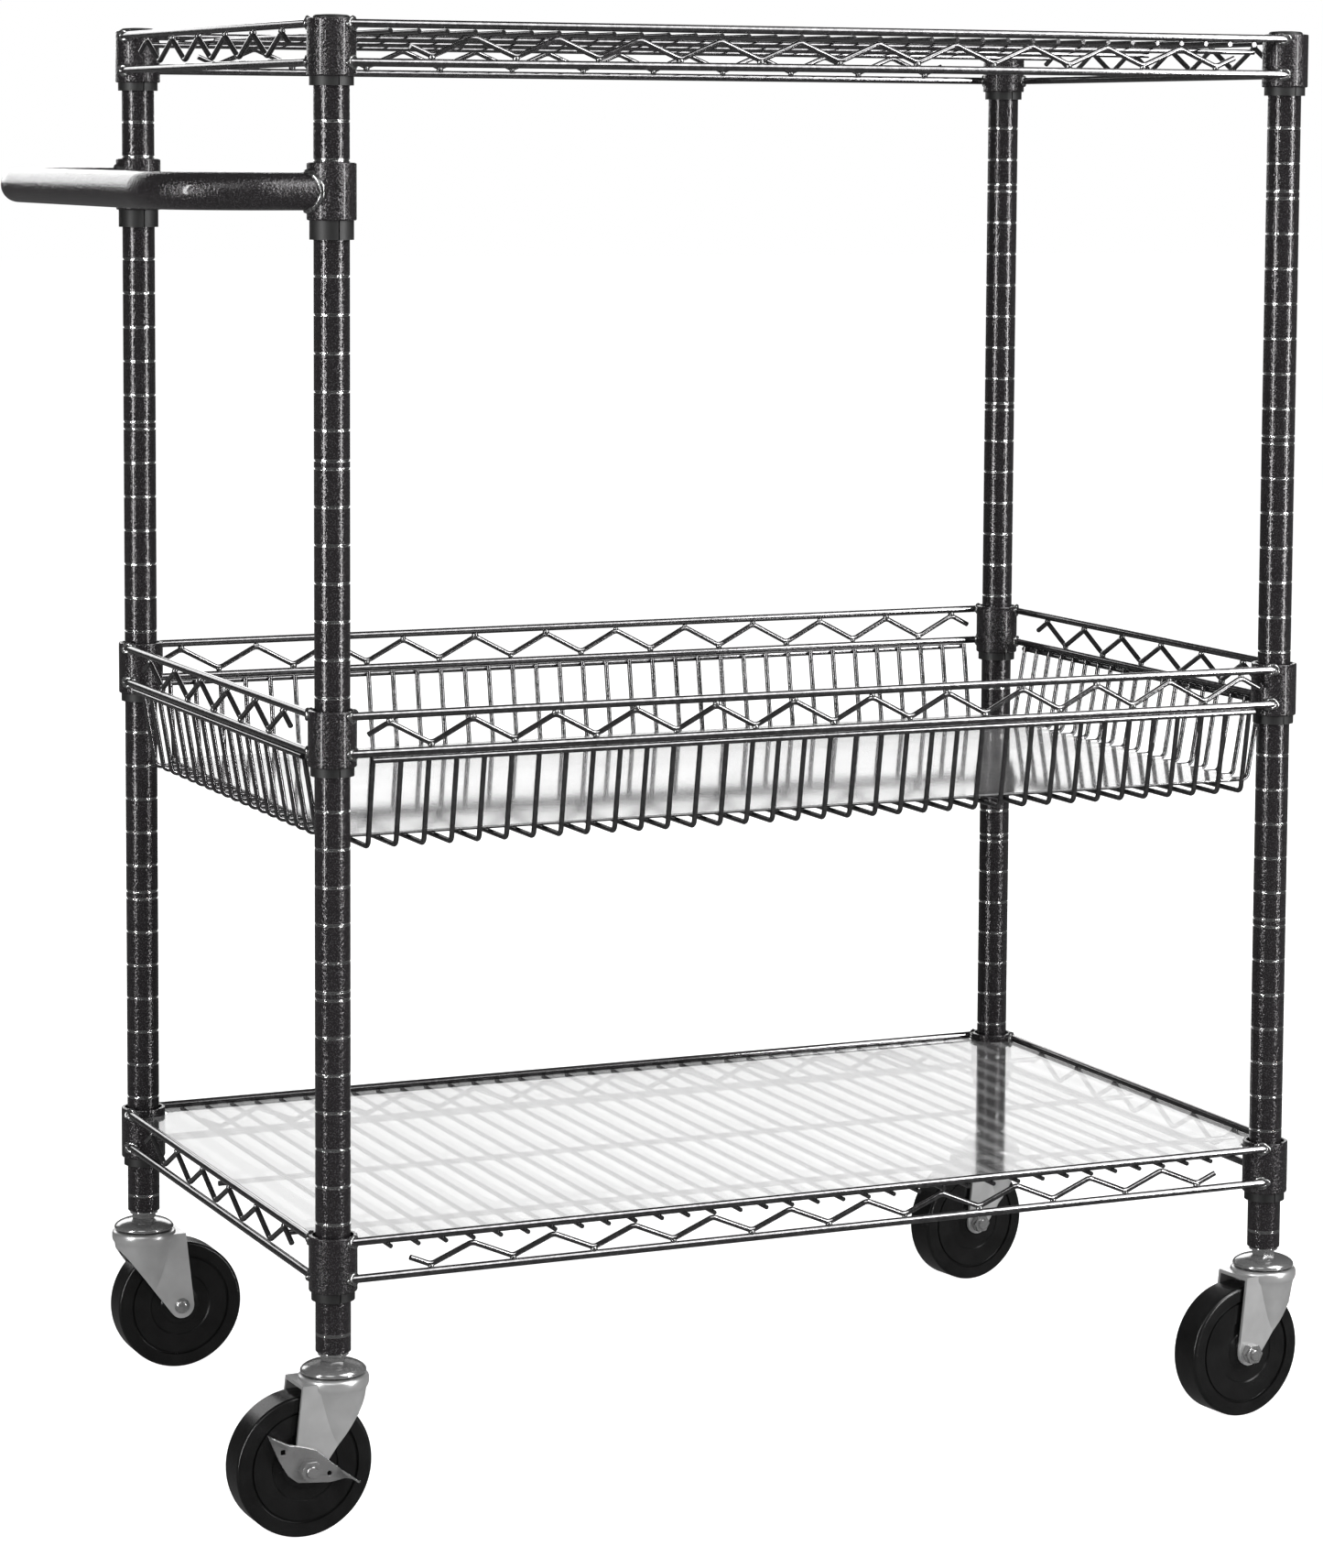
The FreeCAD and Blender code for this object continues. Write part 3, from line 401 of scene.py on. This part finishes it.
def weld_beads(name, places, bead, ripples):
    """One mesh of rippled weld beads, from (post, heading, offset, height, rod radius)."""
    steps, around = 24, 8
    vertices, faces = [], []
    for post, heading, offset, height, rod in places:
        phase = random.random() * math.pi
        thickness = [
            bead * (0.75 + 0.45 * abs(math.sin(ripples * math.pi * i / steps + phase)))
            for i in range(steps)
        ]
        path = weld_path(post, heading, offset, height, rod, steps)
        more_vertices, more_faces = bead_grid(path, thickness, around, len(vertices))
        vertices += more_vertices
        faces += more_faces
    return mesh_object(name, vertices, faces)


def post_axis(corner):
    """The middle of a corner's post, at floor height."""
    low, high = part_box(f"{corner}_lower_post")
    return Vector(((low.x + high.x) / 2, (low.y + high.y) / 2, 0.0))


def rail_welds(shelf, material):
    """A bead where each rail end meets its collar."""
    rod = RAIL_RADIUS
    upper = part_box(f"{shelf}_rails")[1].z - rod
    heights = (upper, upper - RAIL_GAP)
    places = []
    for corner in CORNERS:
        post = post_axis(corner)
        inward_x = Vector((1 if "left" in corner else -1, 0, 0))
        inward_y = Vector((0, 1 if "front" in corner else -1, 0))
        for height in heights:
            for heading, outward in ((inward_x, -inward_y), (inward_y, -inward_x)):
                side = Vector((-heading.y, heading.x, 0.0))
                offset = RAIL_OFFSET * side.dot(outward)
                places.append((post, heading, offset, height, rod))
    welds = weld_beads(f"{shelf}_rail_welds", places, RAIL_BEAD, 4)
    finish_piece(welds, "frame", material)


def handle_welds(material):
    """A longer bead where each end of the handle tube meets its collar."""
    low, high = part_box("handle_tube")
    height = (low.z + high.z) / 2
    places = [
        (post_axis(corner), Vector((-1, 0, 0)), 0.0, height, (high.z - low.z) / 2)
        for corner in ("front_left", "back_left")
    ]
    welds = weld_beads("handle_welds", places, HANDLE_BEAD, 15)
    finish_piece(welds, "frame", material)


def bend_tops(node, upward):
    """Middles of the wire's highest or lowest bends, read from the CAD mesh."""
    low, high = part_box(node)
    level = high.z if upward else low.z
    found = []
    for vertex in nodes[node].data.vertices:
        place = nodes[node].matrix_world @ vertex.co
        if abs(place.z - level) < NUGGET / 8:
            found.append(place)
    found.sort(key=lambda place: (round(place.x, 2), place.y))
    groups = []
    for place in found:
        near = [group for group in groups if (group[0] - place).length < 4 * NUGGET]
        if near:
            near[0].append(place)
        else:
            groups.append([place])
    return [sum(group, Vector()) / len(group) for group in groups]


def weld_nuggets(shelf, material):
    """A small lump of weld where each bend of the zigzag wires meets a rail."""
    lumps = bmesh.new()
    for upward in (True, False):
        for middle in bend_tops(f"{shelf}_zigzags", upward):
            size = NUGGET * random.uniform(0.85, 1.15)
            place = Matrix.Translation(middle)
            bmesh.ops.create_icosphere(lumps, subdivisions=2, radius=size, matrix=place)
    nuggets = mesh_object(f"{shelf}_zigzag_welds", [], [])
    lumps.to_mesh(nuggets.data)
    lumps.free()
    nuggets.data.shade_smooth()
    finish_piece(nuggets, "frame", material)


def add_welds(material):
    """All the welds that the CAD frame leaves out."""
    for shelf in ("upper_shelf", "basket", "lower_shelf"):
        rail_welds(shelf, material)
        weld_nuggets(shelf, material)
    handle_welds(material)


# ---------------------------------------------------------------- dressing

def dress_frame():
    """Chooses each CAD node's material by its name, and adds the welds."""
    coat = hammertone("hammertone_coat", 0.75)
    post_coat = hammertone("grooved_post_coat", 0.42, groove_pattern())
    weld_coat = welded_metal()
    wires = wire_coat()
    plastic = black_plastic()
    plate = zinc("zinc_plate", 0.53, 0.26, 0.34, 0.01)
    turned = zinc("zinc_turned", 0.30, 0.12, 0.20, 0.01)
    wheel = wheel_plastic()
    film = liner_film("liner_film", 0.22)
    decked_film = liner_film("decked_liner_film", 0.27, 0.10, deck_pattern())
    for name in nodes:
        if any(word in name for word in ("rails", "zigzags", "wires")):
            dress(name, wires)
        elif any(word in name for word in ("post_caps", "split_sleeves")):
            dress(name, plastic)
        elif "wheel" in name:
            dress(name, wheel)
        elif "liner" in name:
            dress(name, decked_film if "lower" in name else film)
        elif name.endswith("_post"):
            dress(name, post_coat)
        elif any(word in name for word in ("collars", "handle")):
            dress(name, coat)
        else:
            dress(name, plate if "fork" in name else turned)
        if any(word in name for word in ("fork", "lever", "nut", "bolt", "dust_cover", "stem")):
            soften_edges(name, SOFT_EDGE)
    add_welds(weld_coat)


# ---------------------------------------------------------------- stage

def make_floor():
    """White paper that the cart stands on; shiny parts don't mirror it."""
    bpy.ops.mesh.primitive_plane_add(size=60.0, location=(0, 0, 0))
    floor = bpy.context.object
    floor.name = "floor"
    made, _, shader = new_material("pale_floor")
    shader.inputs["Base Color"].default_value = (0.5, 0.5, 0.5, 1.0)
    shader.inputs["Roughness"].default_value = 0.9
    shader.inputs["Specular IOR Level"].default_value = 0.0
    shader.inputs["Emission Color"].default_value = (1.0, 1.0, 1.0, 1.0)
    shader.inputs["Emission Strength"].default_value = 0.97
    floor.data.materials.append(made)
    floor.visible_glossy = False


def make_world():
    """White behind the cart, and a dim room with a paler ceiling for everything it reflects."""
    world = bpy.data.worlds.new("studio")
    bpy.context.scene.world = world
    world.use_nodes = True
    tree = world.node_tree
    tree.nodes.clear()
    output = tree.nodes.new("ShaderNodeOutputWorld")
    room = tree.nodes.new("ShaderNodeBackground")
    paper = tree.nodes.new("ShaderNodeBackground")
    paper.inputs["Strength"].default_value = 1.0
    paper.inputs["Color"].default_value = (1.0, 1.0, 1.0, 1.0)
    direction = tree.nodes.new("ShaderNodeTexCoord")
    parts = tree.nodes.new("ShaderNodeSeparateXYZ")
    tree.links.new(direction.outputs["Generated"], parts.inputs["Vector"])
    height = tree.nodes.new("ShaderNodeMapRange")
    height.inputs["From Min"].default_value = -1.0
    tree.links.new(parts.outputs["Z"], height.inputs["Value"])
    shade = ramp(tree, height.outputs["Result"], [(0.30, 0.14), (0.50, 0.07), (0.58, 0.05), (1.0, 0.10)])
    tree.links.new(shade, room.inputs["Color"])
    seen = tree.nodes.new("ShaderNodeLightPath")
    mix = tree.nodes.new("ShaderNodeMixShader")
    tree.links.new(seen.outputs["Is Camera Ray"], mix.inputs["Fac"])
    tree.links.new(room.outputs["Background"], mix.inputs[1])
    tree.links.new(paper.outputs["Background"], mix.inputs[2])
    tree.links.new(mix.outputs["Shader"], output.inputs["Surface"])


def soft_light(name, bearing, elevation, distance, width, height, brightness):
    """A soft box aimed at the cart's middle; bearings turn clockwise from +Y, seen from above."""
    middle = (cad_box[0] + cad_box[1]) / 2
    turn, lift = math.radians(bearing), math.radians(elevation)
    away = Vector((math.sin(turn) * math.cos(lift), math.cos(turn) * math.cos(lift), math.sin(lift)))
    light = bpy.data.lights.new(name, "AREA")
    light.shape = "RECTANGLE"
    light.size = width
    light.size_y = height
    light.energy = brightness * math.pi * width * height
    holder = bpy.data.objects.new(name, light)
    bpy.context.scene.collection.objects.link(holder)
    holder.location = middle + away * distance
    holder.rotation_euler = (-away).to_track_quat("-Z", "Y").to_euler()
    holder.visible_camera = False


def make_lights():
    """Two tall strips for the posts' streaks, and soft boxes for the wires and the liners."""
    soft_light("left_strip", 251.0, 12.0, 4.0, 0.26, 3.2, 50.0)
    soft_light("right_strip", 144.0, 12.0, 4.0, 0.26, 3.2, 50.0)
    soft_light("front_top_box", 142.0, 42.0, 3.6, 2.6, 2.4, 6.2)
    soft_light("back_box", 10.0, 16.0, 4.5, 5.0, 1.4, 3.0)
    soft_light("key_box", 215.0, 35.0, 3.8, 1.6, 1.6, 2.4)


# From the front left post's axis at floor height
CAMERA_STAND = Vector((-0.9806, -2.7347, 0.9353))
CAMERA_LENS = 100.75


def make_camera():
    """Standing to the left of the front, level with the upper shelf and looking a little down."""
    place = post_axis("front_left") + CAMERA_STAND
    yaw, pitch, roll = (math.radians(angle) for angle in (24.039, 5.301, -0.322))
    ahead = Vector((math.sin(yaw) * math.cos(pitch), math.cos(yaw) * math.cos(pitch), -math.sin(pitch)))
    across = Vector((math.cos(yaw), -math.sin(yaw), 0.0))
    down = ahead.cross(across)
    right = across * math.cos(roll) + down * math.sin(roll)
    up = across * math.sin(roll) - down * math.cos(roll)
    camera = bpy.data.objects.new("camera", bpy.data.cameras.new("camera"))
    bpy.context.scene.collection.objects.link(camera)
    camera.matrix_world = Matrix((
        (right.x, up.x, -ahead.x, place.x),
        (right.y, up.y, -ahead.y, place.y),
        (right.z, up.z, -ahead.z, place.z),
        (0, 0, 0, 1),
    ))
    camera.data.sensor_fit = "VERTICAL"
    camera.data.sensor_height = 36.0
    camera.data.sensor_width = 36.0
    camera.data.lens = CAMERA_LENS
    camera.data.shift_y = -0.15
    camera.data.clip_start = 0.05
    camera.data.clip_end = 200.0
    bpy.context.scene.camera = camera


# ---------------------------------------------------------------- the cart

dress_frame()
make_floor()
make_world()
make_lights()
make_camera()

bpy.context.scene.view_settings.view_transform = "Standard"
